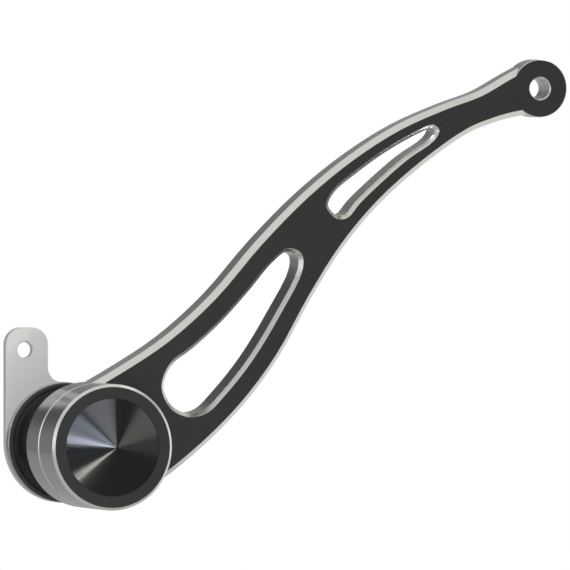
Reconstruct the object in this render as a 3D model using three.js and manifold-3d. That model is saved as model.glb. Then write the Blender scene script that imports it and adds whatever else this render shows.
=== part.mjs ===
// Gear shift lever for a motorcycle's foot control.
// Frame: millimetres, +Z up, +X along the lever towards the toe end, -Y towards the rider's foot.
// The pivot axis is Y. The origin is where that axis meets the seat face of the pivot spindle.
import * as THREE from 'three';
import { mergeVertices } from 'three/addons/utils/BufferGeometryUtils.js';
import Module from 'manifold-3d';

const wasm = await Module();
wasm.setup();

// ---- driving dimensions, all in millimetres and degrees ----
const GAP = 0.15;                 // clearance kept between neighbouring faces
const ROUND = 60;                 // facets round the large turned pieces
const SMALL_ROUND = 28;           // facets round the small ones

// Distances forward from the seat face, along -Y.
const FLANGE_FRONT = 5.5;
const EAR_BACK = 7.0;
const EAR_FRONT = 10.4;
const COLLAR_FRONT = 13.6;
const SEAL_FRONT = 14.85;
const ARM_BACK = 38.3;
const ARM_FRONT = 54.3;
const CAP_SHOULDER = 71.3;
const CAP_FACE = 72.2;
const CAP_APEX = 77.4;
const SPINDLE_END = 52.3;

// Radii about the pivot axis.
const HUB_R = 25.4;
const CAP_R = 25.4;
const NECK_R = 20.0;
const SPIGOT_R = 16.0;
const BUSH_R = 10.5;
const BUSH_BORE_R = 8.75;
const SPINDLE_R = 8.5;
const BOLT_R = 4.9;
const COLLAR_R = 24.5;
const SEAL_R = 24.1;
const COUNTERBORE_R = 14.25;

// Lever arm.
const ARM_BEVEL_WIDTH = 2.2;
const ARM_BEVEL_DEPTH = 3.0;
const SLOT_BEVEL_WIDTH = 1.5;
const SLOT_BEVEL_DEPTH = 2.0;
const ARM_THINNING = 0.22;        // share of its thickness that the arm loses on the way to the boss
const BOSS = { x: 190.5, z: 143.5, r: 11.8, back: ARM_FRONT - 13 };
const PEG_BORE_R = 4.2;

// Rod ear, cut from plate.
const EAR_LEFT = -24.5;
const EAR_RIGHT = -6.4;
const EAR_TOP = 46.75;
const EAR_CORNER = 7;
const EAR_HOLE_X = -16.3;
const EAR_HOLE_Z = 37.7;
const EAR_HOLE_R = 3.25;
const EAR_FILLET = 6;
const EAR_SCREW_CIRCLE = 13.4;

const up = new THREE.Vector3(0, 1, 0);

// ---- closed solids: geometry to manifold and back ----
function solid(geometry) {
  const bare = geometry.index ? geometry.toNonIndexed() : geometry.clone();
  bare.deleteAttribute('normal');
  bare.deleteAttribute('uv');
  const welded = mergeVertices(bare, 1e-4);
  const positions = welded.attributes.position.array;
  const corners = Array.from(welded.index.array);
  const kept = [];
  for (let i = 0; i < corners.length; i += 3) {
    const [a, b, c] = corners.slice(i, i + 3);
    if (a !== b && b !== c && c !== a) kept.push(a, b, c);
  }
  if (signedVolume(positions, kept) < 0) {
    for (let i = 0; i < kept.length; i += 3) {
      [kept[i], kept[i + 1]] = [kept[i + 1], kept[i]];
    }
  }
  const mesh = new wasm.Mesh({
    numProp: 3,
    vertProperties: new Float32Array(positions),
    triVerts: new Uint32Array(kept),
  });
  return new wasm.Manifold(mesh);
}

function signedVolume(positions, corners) {
  const a = new THREE.Vector3();
  const b = new THREE.Vector3();
  const c = new THREE.Vector3();
  let volume = 0;
  for (let i = 0; i < corners.length; i += 3) {
    a.fromArray(positions, corners[i] * 3);
    b.fromArray(positions, corners[i + 1] * 3);
    c.fromArray(positions, corners[i + 2] * 3);
    volume += a.dot(b.cross(c)) / 6;
  }
  return volume;
}

function cut(body, ...tools) {
  return tools.reduce((rest, tool) => rest.subtract(tool), body);
}

function join(body, ...others) {
  return others.reduce((whole, other) => whole.add(other), body);
}

// A turned solid about the pivot axis. The profile lists [radius, distance forward] and closes on itself.
function turned(profile, facets = ROUND) {
  const points = profile.map(([r, forward]) => new THREE.Vector2(r, -forward));
  const onAxis = profile[0][0] === 0;
  if (!onAxis) points.push(points[0].clone());
  return solid(new THREE.LatheGeometry(points, facets));
}

function ring(outerR, innerR, back, front, facets = SMALL_ROUND) {
  return turned([[innerR, back], [outerR, back], [outerR, front], [innerR, front]], facets);
}

function rod(r, back, front, facets = SMALL_ROUND) {
  return turned([[0, back], [r, back], [r, front], [0, front]], facets);
}

// Moves a solid made on the pivot axis to another place in the X-Z plane.
function at(body, x, z) {
  return body.translate([x, 0, z]);
}

// A flat outline in X-Z, thickened from one distance forward to another.
function plate(shape, back, front, bevel = {}) {
  const thickness = bevel.thickness ?? 0;
  const geometry = new THREE.ExtrudeGeometry(shape, {
    depth: front - back - 2 * thickness,
    curveSegments: bevel.curveSegments ?? 24,
    bevelEnabled: thickness > 0,
    bevelThickness: thickness,
    bevelSize: bevel.size ?? 0,
    bevelOffset: bevel.offset ?? 0,
    bevelSegments: 1,
  });
  geometry.rotateX(Math.PI / 2);
  geometry.translate(0, -(back + thickness), 0);
  return solid(geometry);
}

// A smooth curve through a few points, as 2-D points along it.
function smoothPoints(stations, closed, perSpan) {
  const knots = stations.map(([x, z]) => new THREE.Vector3(x, z, 0));
  const curve = new THREE.CatmullRomCurve3(knots, closed, 'centripetal');
  const spans = closed ? knots.length : knots.length - 1;
  const points = curve.getPoints(spans * perSpan).map((p) => new THREE.Vector2(p.x, p.y));
  if (closed) points.pop();
  return points;
}

function hexSocket(acrossFlats, back, front) {
  const r = acrossFlats / 2 / Math.cos(Math.PI / 6);
  return rod(r, back, front, 6);
}

// ---- lever arm ----
// Outlines of the flat face, before the bevels widen it.
const armUpperEdge = [
  [-10, 18.5], [10, 29.3], [30, 41.7], [50, 58.6], [70, 80.6], [90, 99.7], [110, 115],
  [130, 126.9], [150, 135.2], [165, 140.4], [178, 147.4], [188, 152.4],
];
const armLowerEdge = [
  [188, 135.5], [178, 133.8], [169, 131.3], [159, 127.4], [140, 115], [120, 98.4],
  [104, 80.5], [90, 59.6], [76, 35.8], [60, 15.8], [40, -2.5], [22, -15], [6, -21],
];
const lowerSlot = [
  [27, 23.5], [30.6, 33], [40, 40.1], [52, 50.5], [64, 63.1], [74, 74.4], [81, 79.2],
  [87, 77], [87.6, 70.6], [78, 52.4], [66, 33.8], [54, 19.6], [46.5, 12.7], [39, 11.1],
  [31, 14.6],
];
const upperSlot = [
  [97.6, 96], [100.4, 102.4], [110, 110.2], [124, 119.6], [138, 126.9], [143.8, 128.9],
  [146.7, 126.8], [144.6, 122.6], [133, 114.8], [121, 105], [112, 96.8], [107.4, 91.6],
  [102.6, 90.7],
];

// Thins a body evenly from the pivot to the boss. Its front face stays where it is.
function thinned(body) {
  const reach = new THREE.Vector2(BOSS.x, BOSS.z);
  const start = 0.06;
  return body.warp((point) => {
    const along = (point[0] * reach.x + point[2] * reach.y) / reach.lengthSq();
    const kept = 1 - ARM_THINNING * (along + start);
    point[1] = -ARM_FRONT + (point[1] + ARM_FRONT) * kept;
  });
}

function armBlank() {
  const outline = [...smoothPoints(armUpperEdge, false, 4), ...smoothPoints(armLowerEdge, false, 4)];
  return thinned(plate(new THREE.Shape(outline), ARM_BACK, ARM_FRONT, {
    thickness: ARM_BEVEL_DEPTH,
    size: ARM_BEVEL_WIDTH,
  }));
}

// The cutter is widest just beyond both faces and narrows to the straight wall of the slot.
function slotCutter(stations) {
  const past = 1;
  const slope = SLOT_BEVEL_WIDTH / SLOT_BEVEL_DEPTH;
  const shape = new THREE.Shape(smoothPoints(stations, true, 4));
  return thinned(plate(shape, ARM_BACK - past, ARM_FRONT + past, {
    thickness: SLOT_BEVEL_DEPTH + past,
    size: -(SLOT_BEVEL_WIDTH + past * slope),
    offset: past * slope,
  }));
}

function hubDisc() {
  const chamfer = 0.8;
  return turned([
    [0, ARM_BACK], [HUB_R - chamfer, ARM_BACK], [HUB_R, ARM_BACK + chamfer],
    [HUB_R, ARM_FRONT - chamfer], [HUB_R - chamfer, ARM_FRONT], [0, ARM_FRONT],
  ]);
}

function pegBoss() {
  const edge = 0.25;
  const body = turned([
    [0, BOSS.back], [BOSS.r - ARM_BEVEL_WIDTH, BOSS.back], [BOSS.r, BOSS.back + ARM_BEVEL_DEPTH],
    [BOSS.r, ARM_FRONT - edge], [BOSS.r - edge, ARM_FRONT], [0, ARM_FRONT],
  ], 48);
  return at(body, BOSS.x, BOSS.z);
}

// Through bore for the toe peg's stud, a touch wider at the front, chamfered at both mouths.
function pegBore() {
  const wide = PEG_BORE_R + 0.2;
  const mouth = wide + 0.4;
  const bore = turned([
    [0, BOSS.back - 1], [mouth, BOSS.back - 1], [mouth, BOSS.back], [PEG_BORE_R, BOSS.back + 0.5],
    [PEG_BORE_R, ARM_FRONT - 6.5], [wide, ARM_FRONT - 6.3], [wide, ARM_FRONT - 0.4],
    [mouth, ARM_FRONT], [mouth, ARM_FRONT + 1], [0, ARM_FRONT + 1],
  ]);
  return at(bore, BOSS.x, BOSS.z);
}

const pinCircle = 18.2;
const drivePinAngles = [60, 240];
const pryNotchAngle = 226;

function polar(radius, degrees) {
  const angle = THREE.MathUtils.degToRad(degrees);
  return [radius * Math.cos(angle), radius * Math.sin(angle)];
}

// Small notch in the hub's front edge, where a blade lifts the cap.
function pryNotch() {
  const geometry = new THREE.BoxGeometry(2.4, 1.6, 2.6);
  geometry.rotateY(-THREE.MathUtils.degToRad(pryNotchAngle));
  const [x, z] = polar(HUB_R, pryNotchAngle);
  geometry.translate(x, -ARM_FRONT, z);
  return solid(geometry);
}

function leverArm() {
  const sleeveBore = ring(SPIGOT_R + GAP, 0, ARM_BACK - 1, ARM_FRONT + 1, ROUND);
  const pinHoles = drivePinAngles.map((angle) => {
    return at(rod(1.4, ARM_BACK - 1, ARM_BACK + 6.2, 12), ...polar(pinCircle, angle));
  });
  const whole = join(armBlank(), hubDisc(), pegBoss());
  return cut(whole, sleeveBore, slotCutter(lowerSlot), slotCutter(upperSlot), pegBore(),
    pryNotch(), ...pinHoles);
}

// ---- hub sleeve: the neck between the lever arm and the rod ear ----
function hubSleeve() {
  const body = turned([
    [BUSH_R + GAP, EAR_FRONT + GAP], [SPIGOT_R - 0.4, EAR_FRONT + GAP],
    [SPIGOT_R, EAR_FRONT + GAP + 0.4], [SPIGOT_R, SEAL_FRONT + GAP],
    [NECK_R, SEAL_FRONT + GAP], [NECK_R, ARM_BACK - GAP],
    [SPIGOT_R, ARM_BACK - GAP], [SPIGOT_R, ARM_FRONT - 0.8], [SPIGOT_R - 0.5, ARM_FRONT - 0.3],
    [COUNTERBORE_R, ARM_FRONT - 0.3], [COUNTERBORE_R, 47.2], [BUSH_R + GAP, 47.2],
  ]);
  const threads = earScrewAngles.map((angle) => {
    return at(rod(2.1, EAR_FRONT - 1, 20.5, 16), ...polar(EAR_SCREW_CIRCLE, angle));
  });
  const pinHoles = drivePinAngles.map((angle) => {
    return at(rod(1.4, ARM_BACK - 6.2, ARM_BACK + 1, 12), ...polar(pinCircle, angle));
  });
  return cut(body, ...threads, ...pinHoles);
}

function drivePin(angle) {
  const body = turned([
    [0, ARM_BACK - 6], [0.95, ARM_BACK - 6], [1.25, ARM_BACK - 5.7],
    [1.25, ARM_BACK + 5.7], [0.95, ARM_BACK + 6], [0, ARM_BACK + 6],
  ], 12);
  return at(body, ...polar(pinCircle, angle));
}

// Plain bearing bush pressed into the sleeve, with a lead-in chamfer at both ends of its bore.
function bush(back, front) {
  return turned([
    [BUSH_BORE_R + 0.4, back], [BUSH_R, back], [BUSH_R, front], [BUSH_BORE_R + 0.4, front],
    [BUSH_BORE_R, front - 0.4], [BUSH_BORE_R, back + 0.4],
  ], SMALL_ROUND);
}

// ---- rod ear with its collar, seal and screws ----
const earScrewAngles = [30, 150, 270];

function rodEar() {
  const cornerZ = EAR_TOP - EAR_CORNER;
  const filletX = EAR_RIGHT + EAR_FILLET;
  const filletZ = Math.sqrt((COLLAR_R + EAR_FILLET) ** 2 - filletX ** 2);
  const edge = 0.25;
  const trim = new THREE.Shape();
  const towards = Math.atan2(filletZ, filletX);
  trim.moveTo(EAR_LEFT + edge, 0);
  trim.lineTo(EAR_LEFT + edge, cornerZ);
  trim.absarc(EAR_LEFT + EAR_CORNER, cornerZ, EAR_CORNER - edge, Math.PI, Math.PI / 2, true);
  trim.absarc(EAR_RIGHT - EAR_CORNER, cornerZ, EAR_CORNER - edge, Math.PI / 2, 0, true);
  trim.lineTo(EAR_RIGHT - edge, filletZ);
  trim.absarc(filletX, filletZ, EAR_FILLET + edge, Math.PI, towards + Math.PI, false);
  trim.absarc(0, 0, COLLAR_R - edge, towards, -Math.PI, true);
  const body = plate(trim, EAR_BACK, EAR_FRONT, { thickness: edge, size: edge, curveSegments: 20 });
  const sinks = earScrewAngles.map((angle) => at(earScrewSpace(0.15), ...polar(EAR_SCREW_CIRCLE, angle)));
  const shaftHole = rod(SPINDLE_R + 0.4, EAR_BACK - 1, EAR_FRONT + 1);
  const rodHole = turned([
    [0, EAR_BACK - 1], [EAR_HOLE_R + 0.3, EAR_BACK - 1], [EAR_HOLE_R + 0.3, EAR_BACK],
    [EAR_HOLE_R, EAR_BACK + 0.3], [EAR_HOLE_R, EAR_FRONT - 0.3], [EAR_HOLE_R + 0.3, EAR_FRONT],
    [EAR_HOLE_R + 0.3, EAR_FRONT + 1], [0, EAR_FRONT + 1],
  ]);
  return cut(body, shaftHole, at(rodHole, EAR_HOLE_X, EAR_HOLE_Z), ...sinks);
}

// Countersunk head at the ear's rear face, shank running forward into the sleeve.
function earScrewSpace(extra) {
  const headR = 3.4 + extra;
  const shankR = 1.9 + extra;
  const back = EAR_BACK + 0.1 - extra;
  const tip = 19.8 + extra;
  return turned([
    [0, back], [headR, back], [headR, back + 0.3], [shankR, back + 1.8],
    [shankR, tip - 0.5], [shankR - 0.4, tip], [0, tip],
  ], 16);
}

function earScrew(angle) {
  const body = cut(earScrewSpace(0), hexSocket(2.5, EAR_BACK - 1, EAR_BACK + 1.7));
  return at(body, ...polar(EAR_SCREW_CIRCLE, angle));
}

function sealCollar() {
  const chamfer = 0.3;
  return turned([
    [SPIGOT_R + GAP, EAR_FRONT + GAP], [COLLAR_R, EAR_FRONT + GAP],
    [COLLAR_R, COLLAR_FRONT - chamfer], [COLLAR_R - chamfer, COLLAR_FRONT],
    [SPIGOT_R + GAP, COLLAR_FRONT],
  ]);
}

// Rubber ring with a rounded rim and one shallow groove in its front face.
function dustSeal() {
  const back = COLLAR_FRONT + GAP;
  return turned([
    [SPIGOT_R + GAP, back], [SEAL_R, back], [SEAL_R, SEAL_FRONT - 0.5],
    [SEAL_R - 0.15, SEAL_FRONT - 0.15], [SEAL_R - 0.5, SEAL_FRONT],
    [22.5, SEAL_FRONT], [22.1, SEAL_FRONT - 0.4], [21.7, SEAL_FRONT],
    [SPIGOT_R + GAP, SEAL_FRONT],
  ]);
}

// ---- pivot cap ----
// Turned cap: bright outer edge, flat black ring, raised shallow cone, hollow for the bolt's head.
function pivotCap() {
  const bevel = 1.1;
  const coneR = 19.6;
  const coneFoot = CAP_FACE - 0.5;
  const seat = ARM_FRONT + GAP;
  const body = turned([
    [0, 69], [12.2, 69], [13, 68.2], [13, 56], [12, 55], [12, 49.9],
    [13.6, 49.9], [14, 50.3], [14, 50.8], [12.9, 50.9], [12.9, 52.9], [14, 53],
    [14, seat], [CAP_R - 0.5, seat], [CAP_R, seat + 0.5], [CAP_R, CAP_SHOULDER],
    [CAP_R - bevel, CAP_FACE], [coneR + 0.35, CAP_FACE], [coneR, coneFoot], [0, CAP_APEX],
  ]);
  return body;
}

function torus(centreR, tubeR, forward) {
  const geometry = new THREE.TorusGeometry(centreR, tubeR, 8, 28);
  geometry.rotateX(Math.PI / 2);
  geometry.translate(0, -forward, 0);
  return solid(geometry);
}

// ---- pivot spindle and what holds the lever on it ----
function pivotSpindle() {
  const flangeR = 15;
  const body = turned([
    [BOLT_R + 0.35, 0], [flangeR - 0.6, 0], [flangeR, 0.6], [flangeR, FLANGE_FRONT - 0.4],
    [flangeR - 0.4, FLANGE_FRONT], [SPINDLE_R, FLANGE_FRONT], [SPINDLE_R, 49.8],
    [8.0, 49.8], [8.0, 51.1], [SPINDLE_R, 51.1], [SPINDLE_R, SPINDLE_END - 0.5],
    [SPINDLE_R - 0.5, SPINDLE_END], [BOLT_R + 0.35, SPINDLE_END],
  ], 36);
  return cut(body, at(rod(2.15, -1, 3.2, 16), 0, -10.5));
}

function locatingPin() {
  const body = turned([
    [0, -3.6], [1.6, -3.6], [2, -3.2], [2, 2.6], [1.6, 3], [0, 3],
  ], 16);
  return at(body, 0, -10.5);
}

// Socket-head bolt: its head bears on the lock washer and its thread runs out past the seat face.
function mountingBolt() {
  const headBack = 57.1;
  const headFront = 66.7;
  const tip = -22;
  const body = turned([
    [0, tip], [BOLT_R - 1, tip], [BOLT_R, tip + 1], [BOLT_R, headBack],
    [8, headBack], [8, headFront - 0.6], [7.4, headFront], [0, headFront],
  ], SMALL_ROUND);
  return cut(body, hexSocket(8, headFront - 5, headFront + 1));
}

// Spring washer with a cut through one side.
function lockWasher() {
  const gap = new THREE.BoxGeometry(1.2, 6, 8);
  gap.rotateY(0.35);
  gap.translate(0, -55.8, 7.5);
  return cut(ring(8.3, BOLT_R + 0.3, 54.75, 56.9), solid(gap));
}

// Three-wave washer that takes up the lever's end play.
function waveWasher() {
  const shape = new THREE.Shape();
  shape.absarc(0, 0, 11.6, 0, Math.PI * 2);
  const hole = new THREE.Path();
  hole.absarc(0, 0, SPINDLE_R + 0.3, 0, Math.PI * 2);
  shape.holes.push(hole);
  const geometry = new THREE.ExtrudeGeometry(shape, {
    depth: 0.4,
    curveSegments: 18,
    bevelEnabled: false,
  });
  geometry.rotateX(Math.PI / 2);
  const position = geometry.attributes.position;
  for (let i = 0; i < position.count; i += 1) {
    const angle = Math.atan2(position.getZ(i), position.getX(i));
    position.setY(i, position.getY(i) - 48.82 + 0.25 * Math.cos(3 * angle));
  }
  return solid(geometry);
}

// Open ring that snaps into the spindle's groove, with an eye at each end for the pliers.
function retainingClip() {
  const opening = 16;
  const thick = [49.95, 50.95];
  const half = THREE.MathUtils.degToRad(opening);
  const start = Math.PI / 2 + half;
  const end = Math.PI * 2.5 - half;
  const shape = new THREE.Shape();
  shape.absarc(0, 0, 10.6, start, end, false);
  shape.absarc(0, 0, 8.15, end, start, true);
  const band = plate(shape, ...thick, { curveSegments: 24 });
  const eyes = [90 - opening - 3, 90 + opening + 3].map((angle) => {
    return at(rod(1.75, ...thick, 20), ...polar(9.95, angle));
  });
  const holes = [90 - opening - 3, 90 + opening + 3].map((angle) => {
    return at(rod(0.7, 49, 52, 12), ...polar(10, angle));
  });
  return cut(join(band, ...eyes), ...holes);
}

// ---- finished pieces ----
const root = new THREE.Group();
root.name = 'gear_shift_lever';

function piece(name, body, look) {
  const mesh = body.getMesh();
  const geometry = new THREE.BufferGeometry();
  geometry.setAttribute('position', new THREE.BufferAttribute(new Float32Array(mesh.vertProperties), 3));
  geometry.setIndex(new THREE.BufferAttribute(new Uint32Array(mesh.triVerts), 1));
  geometry.computeVertexNormals();
  const [color, roughness, metalness] = look;
  const made = new THREE.Mesh(geometry, new THREE.MeshStandardMaterial({ color, roughness, metalness }));
  made.name = name;
  root.add(made);
}

const BLACK_ANODISED = [0x343532, 0.45, 0.6];
const MACHINED_ALUMINIUM = [0xb9babb, 0.35, 0.9];
const STAINLESS_PLATE = [0xc4c4c2, 0.5, 0.8];
const GROUND_STEEL = [0xa9abad, 0.25, 0.95];
const BLACK_OXIDE_STEEL = [0x2c2d2f, 0.5, 0.7];
const SPRING_STEEL = [0x55585c, 0.45, 0.8];
const BEARING_BRONZE = [0xb08a4e, 0.4, 0.85];
const BLACK_RUBBER = [0x1d1e20, 0.8, 0];

piece('pivot_spindle', pivotSpindle(), GROUND_STEEL);
piece('locating_pin', locatingPin(), GROUND_STEEL);
piece('rear_thrust_washer', ring(13.8, SPINDLE_R + 0.2, FLANGE_FRONT + 0.2, EAR_BACK - 0.2), BEARING_BRONZE);
piece('front_thrust_washer', ring(11.8, SPINDLE_R + 0.2, 47.35, 48.25), BEARING_BRONZE);
piece('wave_washer', waveWasher(), SPRING_STEEL);
piece('retaining_clip', retainingClip(), SPRING_STEEL);
piece('bolt_plain_washer', ring(9.8, BOLT_R + 0.3, SPINDLE_END + 0.2, 54.5), GROUND_STEEL);
piece('bolt_lock_washer', lockWasher(), SPRING_STEEL);
piece('mounting_bolt', mountingBolt(), BLACK_OXIDE_STEEL);

piece('lever_arm', leverArm(), BLACK_ANODISED);
piece('hub_sleeve', hubSleeve(), MACHINED_ALUMINIUM);
drivePinAngles.forEach((angle, i) => piece(`drive_pin_${i + 1}`, drivePin(angle), GROUND_STEEL));
piece('rear_bush', bush(EAR_FRONT + 0.4, 25), BEARING_BRONZE);
piece('front_bush', bush(33, 47), BEARING_BRONZE);
piece('dust_seal', dustSeal(), BLACK_RUBBER);
piece('seal_collar', sealCollar(), MACHINED_ALUMINIUM);
piece('rod_ear', rodEar(), STAINLESS_PLATE);
earScrewAngles.forEach((angle, i) => piece(`ear_screw_${i + 1}`, earScrew(angle), BLACK_OXIDE_STEEL));
piece('pivot_cap', pivotCap(), BLACK_ANODISED);
piece('cap_o_ring', torus(13.58, 0.58, 51.9), BLACK_RUBBER);

export default root;
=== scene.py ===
# Gear shift lever for a motorcycle: finishes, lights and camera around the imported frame.
# Metres, +Z up, +X towards the toe end, -Y towards the rider's foot. The lever turns about the Y axis.
import math

import bpy
from mathutils import Matrix, Vector


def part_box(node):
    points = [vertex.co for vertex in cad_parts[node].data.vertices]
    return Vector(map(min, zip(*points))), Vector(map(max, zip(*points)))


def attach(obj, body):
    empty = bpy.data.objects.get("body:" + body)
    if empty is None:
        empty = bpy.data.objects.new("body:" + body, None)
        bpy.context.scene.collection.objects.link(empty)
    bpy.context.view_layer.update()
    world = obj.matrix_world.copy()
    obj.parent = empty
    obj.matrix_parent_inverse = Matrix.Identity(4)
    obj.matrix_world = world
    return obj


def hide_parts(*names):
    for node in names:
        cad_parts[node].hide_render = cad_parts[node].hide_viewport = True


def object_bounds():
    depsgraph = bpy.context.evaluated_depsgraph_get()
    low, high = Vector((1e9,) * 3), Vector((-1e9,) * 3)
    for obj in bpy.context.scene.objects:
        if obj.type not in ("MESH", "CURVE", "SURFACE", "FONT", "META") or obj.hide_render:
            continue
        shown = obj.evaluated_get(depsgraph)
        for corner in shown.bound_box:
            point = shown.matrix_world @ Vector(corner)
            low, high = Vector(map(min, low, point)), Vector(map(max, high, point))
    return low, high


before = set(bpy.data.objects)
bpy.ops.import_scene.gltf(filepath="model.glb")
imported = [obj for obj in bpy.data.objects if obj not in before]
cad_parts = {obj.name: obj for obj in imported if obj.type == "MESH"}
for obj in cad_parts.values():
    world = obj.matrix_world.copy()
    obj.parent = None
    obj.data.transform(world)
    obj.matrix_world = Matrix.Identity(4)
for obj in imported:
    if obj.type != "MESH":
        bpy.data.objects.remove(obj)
CAD_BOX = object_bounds()

MM = 0.001
TURNED_FACETS = 160
POLE_R = 0.2
WELD_GAP = 0.002
THREAD_FILL = 0.46
THREAD_STEPS = 32
SMOOTH_ANGLE = math.radians(30)


# ---- camera ----
# A long lens almost level with the pivot, a little to the left of the lever's face.
VIEW_AZIMUTH = math.radians(-19.9)
VIEW_ELEVATION = math.radians(1.3)
VIEW_DISTANCE = 4.8156
LENS = 757.9
AIM_FROM_CENTRE = Vector((-0.0227, -0.0658, 0.0002))

low, high = (Vector(corner) for corner in CAD_BOX)
aim = (low + high) / 2 + AIM_FROM_CENTRE
towards_camera = Vector((
    math.sin(VIEW_AZIMUTH) * math.cos(VIEW_ELEVATION),
    -math.cos(VIEW_AZIMUTH) * math.cos(VIEW_ELEVATION),
    math.sin(VIEW_ELEVATION),
))
bpy.ops.object.camera_add(location=aim + VIEW_DISTANCE * towards_camera)
camera = bpy.context.object
camera.name = "studio_camera"
camera.rotation_euler = towards_camera.to_track_quat("Z", "Y").to_euler()
camera.data.lens = LENS
camera.data.sensor_width = 36
camera.data.clip_end = 50
bpy.context.scene.camera = camera
bpy.context.scene.view_settings.view_transform = "Standard"


# ---- finishes ----
def linear(hex_colour):
    """sRGB hex to the linear colour that a shader takes."""
    parts = [int(hex_colour[i:i + 2], 16) / 255 for i in (1, 3, 5)]
    return [c / 12.92 if c <= 0.04045 else ((c + 0.055) / 1.055) ** 2.4 for c in parts] + [1.0]


def add(tree, kind, inputs=None, **settings):
    """Adds one shader node with its settings, and links or sets its inputs."""
    made = tree.nodes.new("ShaderNode" + kind)
    for name, value in settings.items():
        setattr(made, name, value)
    for socket, value in (inputs or {}).items():
        if isinstance(value, bpy.types.NodeSocket):
            tree.links.new(value, made.inputs[socket])
        else:
            made.inputs[socket].default_value = value
    return made


def finish(name, metallic, ior=None, specular=0.5):
    """An empty finish: its tree, its surface shader, and where a point is on the piece, in millimetres."""
    material = bpy.data.materials.new(name)
    material.use_nodes = True
    tree = material.node_tree
    surface = tree.nodes["Principled BSDF"]
    surface.inputs["Metallic"].default_value = metallic
    surface.inputs["Specular IOR Level"].default_value = specular
    if ior:
        surface.inputs["IOR"].default_value = ior
    place = add(tree, "TexCoord")
    in_mm = add(tree, "VectorMath", {0: place.outputs["Object"], "Scale": 1000}, operation="SCALE")
    return material, tree, surface, in_mm.outputs[0]


def wire(tree, surface, pattern, colours, roughness, bump_mm, height=None):
    """Spreads a 0 to 1 pattern over colour, roughness and a bump of a given depth."""
    tint = add(tree, "Mix", {"Factor": pattern, "A": linear(colours[0]), "B": linear(colours[1])},
               data_type="RGBA")
    rough = add(tree, "MapRange", {"Value": pattern, "To Min": roughness[0], "To Max": roughness[1]})
    bump = add(tree, "Bump", {"Height": height or pattern, "Strength": 1.0, "Distance": bump_mm * MM})
    tree.links.new(tint.outputs["Result"], surface.inputs["Base Color"])
    tree.links.new(rough.outputs["Result"], surface.inputs["Roughness"])
    tree.links.new(bump.outputs["Normal"], surface.inputs["Normal"])


def lathe_lines(tree, in_mm, pitch):
    """Fine tool lines that run round the pivot: each depends only on how far along the axis it is."""
    split = add(tree, "SeparateXYZ", {0: in_mm})
    lines = add(tree, "TexNoise", {"W": split.outputs["Y"], "Scale": 1 / pitch, "Detail": 3.0,
                                   "Roughness": 0.6}, noise_dimensions="1D")
    return lines.outputs[0]


def black_anodised():
    """Bead-blasted aluminium, black anodised: a dyed oxide film, satin.

    The blast grain is about 0.1 mm and is drawn at 0.5 mm so that it shows."""
    material, tree, surface, in_mm = finish("black_anodised_satin", metallic=0.0, ior=1.5, specular=0.4)
    grain = add(tree, "TexNoise", {"Vector": in_mm, "Scale": 1 / 0.5, "Detail": 2.0})
    cloud = add(tree, "TexNoise", {"Vector": in_mm, "Scale": 1 / 9.0, "Detail": 1.0})
    both = add(tree, "Mix", {"Factor": 0.3, "A": grain.outputs[0], "B": cloud.outputs[0]})
    wire(tree, surface, both.outputs["Result"], ("#090908", "#272725"), (0.42, 0.56), 0.02)
    return material


def turned_black_cone():
    """Cone turned with a sharp tool, black anodised: glossy, with faint rays from the tool's chatter."""
    material, tree, surface, in_mm = finish("black_anodised_turned", metallic=0.0, ior=1.6, specular=0.23)
    split = add(tree, "SeparateXYZ", {0: in_mm})
    flat = add(tree, "CombineXYZ", {"X": split.outputs["X"], "Z": split.outputs["Z"]})
    radius = add(tree, "VectorMath", {0: flat.outputs[0]}, operation="LENGTH")
    angle = add(tree, "Math", {0: split.outputs["Z"], 1: split.outputs["X"]}, operation="ARCTAN2")
    rays = add(tree, "TexNoise", {"W": angle.outputs[0], "Scale": 9.0, "Detail": 4.0, "Roughness": 0.7},
               noise_dimensions="1D")
    lift = add(tree, "Math", {0: rays.outputs[0], 1: radius.outputs["Value"]}, operation="MULTIPLY")
    wire(tree, surface, rays.outputs[0], ("#020203", "#060607"), (0.1, 0.15), 0.0016, lift.outputs[0])
    return material


def bright_cut():
    """Aluminium cut after anodising with a polished tool: near mirror, with a faint 1.5 mm ripple."""
    material, tree, surface, in_mm = finish("bright_cut_aluminium", metallic=1.0)
    ripple = add(tree, "TexNoise", {"Vector": in_mm, "Scale": 1 / 1.5, "Detail": 1.0})
    wire(tree, surface, ripple.outputs[0], ("#dedcd7", "#e4e2dd"), (0.2, 0.24), 0.0002)
    return material


def milled_wall(name, colours, roughness):
    """Aluminium walls left by an end mill: satin, with cutter lines along the wall.

    The lines are about 0.1 mm apart and are drawn at 0.8 mm so that they show."""
    material, tree, surface, in_mm = finish(name, metallic=1.0)
    lines = lathe_lines(tree, in_mm, 0.8)
    patch = add(tree, "TexNoise", {"Vector": in_mm, "Scale": 1 / 14.0, "Detail": 2.0})
    both = add(tree, "Mix", {"Factor": 0.4, "A": lines, "B": patch.outputs[0]})
    wire(tree, surface, both.outputs["Result"], colours, roughness, 0.001)
    return material


def blasted_stainless():
    """Laser-cut stainless plate, fine glass-bead blast: even and pale, with 0.3 mm speckle."""
    material, tree, surface, in_mm = finish("blasted_stainless", metallic=1.0)
    speckle = add(tree, "TexNoise", {"Vector": in_mm, "Scale": 1 / 0.3, "Detail": 3.0, "Roughness": 0.7})
    wire(tree, surface, speckle.outputs[0], ("#dad8d3", "#edebe6"), (0.58, 0.7), 0.012)
    return material


def moulded_rubber():
    """Nitrile rubber, moulded: near black with a soft sheen and a faint 0.4 mm bloom."""
    material, tree, surface, in_mm = finish("black_rubber", metallic=0.0, ior=1.52)
    bloom = add(tree, "TexNoise", {"Vector": in_mm, "Scale": 1 / 0.4, "Detail": 3.0})
    wire(tree, surface, bloom.outputs[0], ("#0f1012", "#1a1b1e"), (0.38, 0.52), 0.01)
    return material


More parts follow.
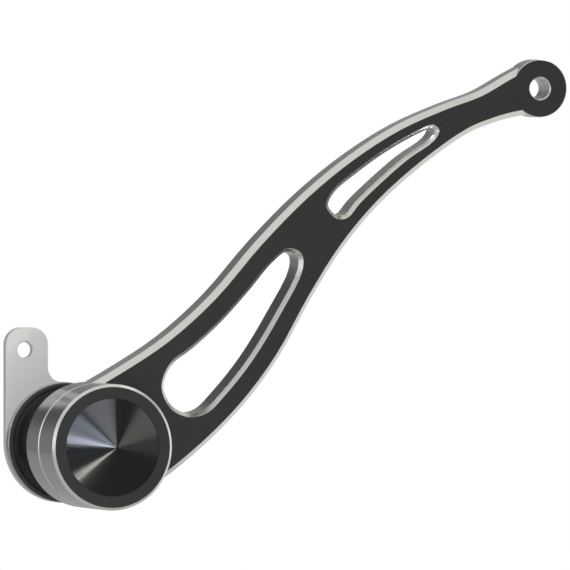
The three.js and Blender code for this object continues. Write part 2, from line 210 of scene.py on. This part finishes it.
def turned_metal(name, colours, roughness):
    """A turned or ground piece of the pivot, with tool lines round its axis.

    The lines are a few hundredths of a millimetre apart and are drawn at 0.9 mm so that they show."""
    material, tree, surface, in_mm = finish(name, metallic=1.0)
    wire(tree, surface, lathe_lines(tree, in_mm, 0.9), colours, roughness, 0.0008)
    return material


def oiled_black_steel():
    """Steel blackened in an oxide bath and oiled: dark, with a mottled 0.6 mm tone."""
    material, tree, surface, in_mm = finish("black_oxide_steel", metallic=0.85)
    mottle = add(tree, "TexNoise", {"Vector": in_mm, "Scale": 1 / 0.6, "Detail": 4.0})
    wire(tree, surface, mottle.outputs[0], ("#232426", "#3a3b3e"), (0.35, 0.5), 0.004)
    return material


BLACK = black_anodised()
CONE = turned_black_cone()
BRIGHT = bright_cut()
MILLED = milled_wall("milled_aluminium", ("#cbcccd", "#d8d9d8"), (0.3, 0.4))
BORED = milled_wall("milled_aluminium_inner", ("#d8d8d6", "#e2e2df"), (0.36, 0.42))
STAINLESS = blasted_stainless()
RUBBER = moulded_rubber()
OXIDE = oiled_black_steel()
TURNED = turned_metal("turned_aluminium", ("#9d9ea0", "#b2b3b4"), (0.16, 0.23))
GROUND = turned_metal("ground_steel", ("#a8aaac", "#bec0c1"), (0.2, 0.3))
SPRING = turned_metal("spring_steel", ("#4b4e52", "#62656a"), (0.3, 0.42))
BRONZE = turned_metal("bearing_bronze", ("#a8823f", "#c19a56"), (0.28, 0.4))


# ---- making pieces ----
def only(obj):
    """Leaves obj alone selected and active."""
    bpy.ops.object.select_all(action="DESELECT")
    obj.select_set(True)
    bpy.context.view_layer.objects.active = obj


def edit(obj):
    """Opens obj for editing with everything selected."""
    only(obj)
    bpy.ops.object.mode_set(mode="EDIT")
    bpy.ops.mesh.select_all(action="SELECT")


def done(obj):
    """Merges doubles, turns normals outward, and smooths everything but the real edges."""
    edit(obj)
    bpy.ops.mesh.remove_doubles(threshold=WELD_GAP * MM)
    bpy.ops.mesh.normals_make_consistent(inside=False)
    bpy.ops.object.mode_set(mode="OBJECT")
    bpy.ops.object.shade_smooth_by_angle(angle=SMOOTH_ANGLE)
    return obj


def clean_copy(node, name):
    """The CAD node's own shape as a new piece, welded, with its large flat faces shaded flat."""
    obj = bpy.data.objects.new(name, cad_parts[node].data.copy())
    bpy.context.scene.collection.objects.link(obj)
    obj.data.materials.clear()
    only(obj)
    bpy.ops.mesh.customdata_custom_splitnormals_clear()
    done(obj)
    even = obj.modifiers.new("even_shading", "WEIGHTED_NORMAL")
    even.keep_sharp = True
    even.weight = 100
    bpy.ops.object.modifier_apply(modifier=even.name)
    return obj


def from_pivot(at):
    """How far a place is from the pivot's axis."""
    return math.hypot(at.x, at.z)


def pick_vertices(obj, wanted):
    """In a mesh open for editing, selects only the vertices whose place in millimetres passes a test."""
    bpy.ops.mesh.select_all(action="DESELECT")
    bpy.ops.object.mode_set(mode="OBJECT")
    for vertex in obj.data.vertices:
        vertex.select = wanted(vertex.co / MM)
    bpy.ops.object.mode_set(mode="EDIT")


def turned(name, profile, facets=TURNED_FACETS):
    """A piece turned about the pivot, from (radius, depth along Y) pairs in millimetres.

    A profile that starts and ends at the small pole radius is closed there to a point on the axis.
    Any other profile runs round a ring's section and joins its own start."""
    solid = profile[0][0] == profile[-1][0] == POLE_R
    start_r, start_y = profile[0]
    bpy.ops.object.select_all(action="DESELECT")
    bpy.ops.mesh.primitive_circle_add(vertices=facets, radius=start_r * MM, fill_type="NOTHING",
                                      location=(0, start_y * MM, 0), rotation=(math.pi / 2, 0, 0))
    obj = bpy.context.object
    obj.name = name
    bpy.ops.object.transform_apply(location=True, rotation=True, scale=True)
    edit(obj)
    r, y = start_r, start_y
    for next_r, next_y in profile[1:] + ([] if solid else profile[:1]):
        bpy.ops.mesh.extrude_edges_move(TRANSFORM_OT_translate={"value": (0, (next_y - y) * MM, 0)})
        bpy.ops.transform.resize(value=(next_r / r, 1, next_r / r), center_override=(0, next_y * MM, 0))
        r, y = next_r, next_y
    if solid:
        for _, end_y in (profile[0], profile[-1]):
            pick_vertices(obj, lambda at: from_pivot(at) < POLE_R + 0.01 and abs(at.y - end_y) < 0.01)
            bpy.ops.mesh.merge(type="CENTER")
    bpy.ops.object.mode_set(mode="OBJECT")
    return done(obj)


def thread_ridge(root_r, crest_r, pitch, start_y, turns):
    """A V-shaped ridge wound along +Y round the pivot axis as a right-hand thread, in millimetres."""
    # A triangle of circumradius 1 mm reaches 1 mm ahead of its centre and 0.5 mm behind.
    scale = (crest_r - root_r) / 1.5
    half_width = THREAD_FILL * pitch
    bpy.ops.object.select_all(action="DESELECT")
    bpy.ops.mesh.primitive_circle_add(vertices=3, radius=MM, fill_type="NOTHING",
                                      rotation=(0, 0, -math.pi / 2))
    obj = bpy.context.object
    bpy.ops.object.transform_apply(location=True, rotation=True, scale=True)
    edit(obj)
    reach = max(vertex.co.y for vertex in obj.data.vertices) / MM
    bpy.ops.transform.resize(value=(scale, half_width / reach, 1), center_override=(0, 0, 0))
    bpy.ops.transform.translate(value=((crest_r - scale) * MM, start_y * MM, 0))
    bpy.ops.object.mode_set(mode="OBJECT")
    wind = obj.modifiers.new("wind", "SCREW")
    wind.axis = "Y"
    wind.steps = wind.render_steps = THREAD_STEPS
    wind.screw_offset = pitch * MM
    wind.iterations = turns
    bpy.ops.object.modifier_apply(modifier=wind.name)
    edit(obj)
    bpy.ops.mesh.fill_holes(sides=3)
    bpy.ops.object.mode_set(mode="OBJECT")
    return done(obj)


def paint(obj, default, zones=()):
    """Gives each face the first finish whose test it meets. A test takes the face's centre and normal."""
    obj.data.materials.clear()
    finishes = [default] + [material for material, _ in zones]
    for material in finishes:
        obj.data.materials.append(material)
    for face in obj.data.polygons:
        face.material_index = 0
        for slot, (_, test) in enumerate(zones, start=1):
            if test(face.center / MM, face.normal):
                face.material_index = slot
                break


def faces_across(obj, at, n, reach=25):
    """True for a wall of a slot or bore: straight out from it, the piece's own opposite wall is met."""
    start = Vector(at) * MM + n * 0.1 * MM
    return obj.ray_cast(start, n, distance=reach * MM)[0]


def fit(obj, node, body):
    """The piece stands for the CAD node, which it hides, and rides on its body."""
    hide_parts(node)
    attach(obj, body)


def depth(node):
    """The two ends of a node along the pivot, in millimetres: (front, back). The front is negative."""
    near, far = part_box(node)
    return near.y / MM, far.y / MM


arm_front, _ = depth("lever_arm")
cap_apex, cap_tail = depth("pivot_cap")
CAP_GAP = 0.15
CONE_HEIGHT = 5.2
cap_seat = arm_front - CAP_GAP
cap_face = cap_apex + CONE_HEIGHT
cap_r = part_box("pivot_cap")[1].x / MM


# ---- lever arm ----
# The faces are black. The bevels are bright-cut, the outer walls milled, and the hub's rim turned.
# The lower window's walls are as fine as the rim. The upper window and the peg bore are duller.
LOWER_WINDOW_END = 92
REAR_DEPTH = 9


def on_arm_face(at, n):
    in_front = n.y < -0.98 and at.y < arm_front + 0.1
    behind = n.y > 0.98 and at.y > arm_front + REAR_DEPTH
    return in_front or behind


def finely_cut(at, n):
    on_hub_rim = cap_r - 0.3 < from_pivot(at) < cap_r + 0.05
    return on_hub_rim or at.x < LOWER_WINDOW_END and faces_across(arm, at, n)


arm = clean_copy("lever_arm", "lever_arm_machined")
paint(arm, MILLED, (
    (BLACK, on_arm_face),
    (BRIGHT, lambda at, n: 0.2 < abs(n.y) < 0.95),
    (TURNED, finely_cut),
    (BORED, lambda at, n: faces_across(arm, at, n)),
))
fit(arm, "lever_arm", "lever")


# ---- pivot cap: from its hollow back, round the spigot and its O-ring groove, to the raised cone ----
CONE_R = 19.6
CONE_STEP = 0.2
NEAR_APEX_R = 0.6
RIM_WIDTH = 1.1
SPIGOT_R, GROOVE_R, HOLLOW_R = 14, 12.9, 12
# The slope that the studio lights are aimed by.
CONE_SLOPE = math.radians(15)
cone_foot = cap_face + CONE_STEP
near_apex = cap_apex + (cone_foot - cap_apex) * NEAR_APEX_R / CONE_R
cap = turned("pivot_cap_turned", [
    (POLE_R, cap_apex + 8.4), (12.2, cap_apex + 8.4), (13, cap_apex + 9.2), (13, -56),
    (HOLLOW_R, -55), (HOLLOW_R, cap_tail), (SPIGOT_R - 0.4, cap_tail), (SPIGOT_R, cap_tail - 0.4),
    (SPIGOT_R, -50.8), (GROOVE_R, -50.9), (GROOVE_R, -52.9), (SPIGOT_R, -53), (SPIGOT_R, cap_seat),
    (cap_r - 0.5, cap_seat), (cap_r, cap_seat - 0.5), (cap_r, cap_face + 0.9),
    (cap_r - RIM_WIDTH, cap_face), (CONE_R + 0.15, cap_face), (CONE_R, cone_foot),
    (NEAR_APEX_R, near_apex), (POLE_R, cap_apex),
])
paint(cap, TURNED, (
    (CONE, lambda at, n: at.y < cone_foot - 0.01 and from_pivot(at) < CONE_R),
    (BRIGHT, lambda at, n: from_pivot(at) > cap_r - RIM_WIDTH and -0.95 < n.y < -0.2),
    (BLACK, lambda at, n: at.y < cone_foot - 0.01 and from_pivot(at) < cap_r - RIM_WIDTH + 0.1),
))
fit(cap, "pivot_cap", "lever")


# ---- hub neck, seal collar and rod ear ----
for node, name, material, slot in (
    ("hub_sleeve", "hub_neck_turned", TURNED, "machined_aluminium"),
    ("seal_collar", "seal_collar_turned", TURNED, "machined_aluminium"),
    ("rod_ear", "rod_ear_blasted", STAINLESS, "stainless_plate"),
):
    piece = clean_copy(node, name)
    paint(piece, material)
    fit(piece, node, "lever")


# ---- dust seal: a ring with a rounded lip, and one fine groove round its front ----
SEAL_BORE_R = 16.15
LIP_R = 0.5
GROOVE_DEPTH = 0.4
seal_front, seal_back = depth("dust_seal")
seal_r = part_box("dust_seal")[1].x / MM


def on_lip(turn):
    angle = math.radians(turn)
    return seal_r - LIP_R * (1 - math.cos(angle)), seal_front + LIP_R * (1 - math.sin(angle))


seal = turned("dust_seal_moulded", [
    (SEAL_BORE_R, seal_back), (seal_r - 0.2, seal_back), (seal_r, seal_back - 0.2),
    *[on_lip(turn) for turn in (0, 20, 45, 70, 90)],
    (22.7, seal_front), (22.45, seal_front + 0.15), (22.25, seal_front + GROOVE_DEPTH),
    (21.95, seal_front + GROOVE_DEPTH), (21.75, seal_front + 0.15), (21.5, seal_front),
    (SEAL_BORE_R + 0.25, seal_front), (SEAL_BORE_R, seal_front + 0.25),
])
paint(seal, RUBBER)
fit(seal, "dust_seal", "lever")


# ---- mounting bolt: the CAD's shank and socket head, with a real thread on the end behind the flange ----
BOLT_R, ROOT_R, BOLT_PITCH = 4.9, 4.05, 1.5
THREAD_TURNS = 11
THREAD_RUNOUT = 1.2
SHANK_END = 2
TAIL_FACETS = 48
thread_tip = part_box("mounting_bolt")[1].y / MM
thread_start = thread_tip - THREAD_RUNOUT - THREAD_TURNS * BOLT_PITCH
bolt = clean_copy("mounting_bolt", "mounting_bolt_threaded")
edit(bolt)
bpy.ops.mesh.bisect(plane_co=(0, SHANK_END * MM, 0), plane_no=(0, 1, 0), clear_outer=True, use_fill=True)
bpy.ops.object.mode_set(mode="OBJECT")
tail = turned("bolt_tail", [
    (POLE_R, SHANK_END - 0.5), (BOLT_R - 0.05, SHANK_END - 0.5), (BOLT_R - 0.05, SHANK_END + 0.2),
    (ROOT_R, SHANK_END + 1), (ROOT_R, thread_tip - 0.9), (ROOT_R - 0.8, thread_tip), (POLE_R, thread_tip),
], TAIL_FACETS)
ridge = thread_ridge(ROOT_R - 0.1, BOLT_R, BOLT_PITCH, thread_start, THREAD_TURNS)
only(bolt)
tail.select_set(True)
ridge.select_set(True)
bpy.ops.object.join()
bpy.ops.object.shade_smooth_by_angle(angle=SMOOTH_ANGLE)
paint(bolt, OXIDE)
fit(bolt, "mounting_bolt", "fixed_spindle")


# ---- spindle, locating pin and rear washer ----
for node, name, material, slot in (
    ("pivot_spindle", "pivot_spindle_ground", GROUND, "ground_steel"),
    ("locating_pin", "locating_pin_ground", GROUND, "ground_steel"),
    ("rear_thrust_washer", "rear_thrust_washer_turned", BRONZE, "bearing_bronze"),
):
    piece = clean_copy(node, name)
    paint(piece, material)
    fit(piece, node, "fixed_spindle")

# Pieces inside the hub keep the CAD's own solids.
INNER_FINISHES = {
    "front_thrust_washer": BRONZE, "wave_washer": SPRING, "retaining_clip": SPRING,
    "bolt_plain_washer": GROUND, "bolt_lock_washer": SPRING, "drive_pin_1": GROUND,
    "drive_pin_2": GROUND, "rear_bush": BRONZE, "front_bush": BRONZE, "ear_screw_1": OXIDE,
    "ear_screw_2": OXIDE, "ear_screw_3": OXIDE, "cap_o_ring": RUBBER,
}
for node, material in INNER_FINISHES.items():
    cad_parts[node].data.materials.clear()
    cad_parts[node].data.materials.append(material)


# ---- studio ----
FLOOR_DROP = 0.15
LIGHT_DISTANCE = 1.5


def studio_floor():
    """A plain pale floor well below the lever, which is held up by its spindle."""
    bpy.ops.mesh.primitive_plane_add(size=3.6, location=(aim.x, aim.y, low.z - FLOOR_DROP))
    floor = bpy.context.object
    floor.name = "studio_floor"
    bpy.ops.object.transform_apply(location=True, rotation=True, scale=True)
    material, tree, surface, in_mm = finish("pale_floor", metallic=0.0)
    speck = add(tree, "TexNoise", {"Vector": in_mm, "Scale": 1 / 40.0, "Detail": 3.0})
    wire(tree, surface, speck.outputs[0], ("#d6d6d4", "#dcdcda"), (0.75, 0.85), 0.05)
    floor.data.materials.append(material)


def softbox(name, towards, size, brightness, colour="#ffffff", along=(1, 0, 0), distance=LIGHT_DISTANCE):
    """An oblong light that faces the hub. Its width runs along a direction, and brightness is per area."""
    away = Vector(towards).normalized()
    width_axis = (Vector(along) - Vector(along).dot(away) * away).normalized()
    height_axis = away.cross(width_axis)
    turn = Matrix((width_axis, height_axis, away)).transposed()
    hub = Vector((0, cap_face * MM, 0))
    bpy.ops.object.light_add(type="AREA", location=hub + distance * away)
    light = bpy.context.object
    light.name = name
    light.rotation_euler = turn.to_euler()
    light.data.shape = "RECTANGLE"
    light.data.size, light.data.size_y = size
    light.data.energy = brightness * math.pi * size[0] * size[1]
    light.data.color = linear(colour)[:3]
    light.visible_camera = False


def seen_in_cone(angle):
    """Where a line of sight goes after it glances off the cap's cone at an angle round the pivot."""
    around = math.radians(angle)
    tilt = math.sin(CONE_SLOPE)
    normal = Vector((tilt * math.cos(around), -math.cos(CONE_SLOPE), tilt * math.sin(around)))
    return 2 * normal.dot(towards_camera) * normal - towards_camera


def wedge_light(name, angle, spread, depth, brightness, colour="#ffffff", distance=LIGHT_DISTANCE):
    """A light that shows as one wedge on the cone, from its middle angle and its spread in degrees."""
    first, last = seen_in_cone(angle - spread / 2), seen_in_cone(angle + spread / 2)
    length = distance * (last - first).length
    softbox(name, seen_in_cone(angle), (length, depth), brightness, colour, last - first, distance)


def studio_walls():
    """White to the eye, and to the metal a grey room: light overhead and in front, a dark drape behind."""
    world = bpy.data.worlds.new("studio_room")
    bpy.context.scene.world = world
    world.use_nodes = True
    tree = world.node_tree
    tree.nodes.clear()
    place = add(tree, "TexCoord")
    split = add(tree, "SeparateXYZ", {0: place.outputs["Generated"]})
    overhead = add(tree, "MapRange", {"Value": split.outputs["Z"], "From Min": 0.15, "From Max": 0.85,
                                      "To Min": 0.0, "To Max": 0.31}, interpolation_type="SMOOTHSTEP")
    ahead = add(tree, "MapRange", {"Value": split.outputs["Y"], "From Min": 0.3, "From Max": -0.9,
                                   "To Min": 0.36, "To Max": 0.52}, interpolation_type="SMOOTHSTEP")
    drape_side = add(tree, "Math", {0: split.outputs["X"], 1: 0.17}, operation="ADD")
    drape_reach = add(tree, "Math", {0: drape_side.outputs[0]}, operation="ABSOLUTE")
    drape = add(tree, "MapRange", {"Value": drape_reach.outputs[0], "From Min": 0.03, "From Max": 0.2,
                                   "To Min": 0.65, "To Max": 1.0}, interpolation_type="SMOOTHSTEP")
    off_level = add(tree, "Math", {0: split.outputs["Z"]}, operation="ABSOLUTE")
    valance_side = add(tree, "MapRange", {"Value": split.outputs["X"], "From Min": -0.05, "From Max": 0.15,
                                          "To Min": 0.4, "To Max": 0.75})
    valance_reach = add(tree, "MapRange", {"Value": off_level.outputs[0], "From Min": 0.1, "From Max": 0.3})
    valance = add(tree, "Mix", {"Factor": valance_reach.outputs[0], "A": 1.0, "B": valance_side.outputs[0]})
    hangings = add(tree, "Math", {0: drape.outputs[0], 1: valance.outputs["Result"]}, operation="MULTIPLY")
    behind = add(tree, "MapRange", {"Value": split.outputs["Y"], "From Min": 0.35, "From Max": 0.7})
    shade = add(tree, "Mix", {"Factor": behind.outputs[0], "A": 1.0, "B": hangings.outputs[0]})
    open_room = add(tree, "Math", {0: overhead.outputs[0], 1: ahead.outputs[0]}, operation="ADD")
    level = add(tree, "Math", {0: open_room.outputs[0], 1: shade.outputs["Result"]}, operation="MULTIPLY")
    room = add(tree, "Background", {"Color": linear("#ffffff"), "Strength": level.outputs[0]})
    seen = add(tree, "Background", {"Color": (1, 1, 1, 1), "Strength": 1.0})
    rays = add(tree, "LightPath")
    pick = add(tree, "MixShader", {"Fac": rays.outputs["Is Camera Ray"], 1: room.outputs[0],
                                   2: seen.outputs[0]})
    add(tree, "OutputWorld", {"Surface": pick.outputs[0]})


studio_floor()
studio_walls()
softbox("overhead_softbox", (-0.3, 0.1, 0.95), (1.3, 1.0), 0.1)
softbox("overhead_lamp", (0.54, 0.054, 0.84), (0.4, 0.4), 1.2)
softbox("left_softbox", (-0.94, -0.3, 0.16), (0.9, 0.9), 0.6)
softbox("right_softbox", (0.94, 0.34, 0.05), (0.8, 0.7), 0.4)
softbox("low_right_softbox", (0.88, 0.33, -0.2), (0.7, 0.34), 0.3, distance=0.34)
wedge_light("cool_window", 170, 12, 0.1, 58, "#e6efff")
wedge_light("cool_window_edge", 149, 20, 0.1, 16, "#dfe9ff")
wedge_light("high_front_strip", 112, 40, 0.12, 6.4, "#f0f5ff")
wedge_light("right_front_strip", 35, 44, 0.15, 3.0, "#fffdf4")
wedge_light("right_front_glow", 352, 44, 0.15, 0.9, "#ffffff")
wedge_light("low_warm_strip", 218.5, 4, 0.12, 42, "#fffaf0", distance=0.42)
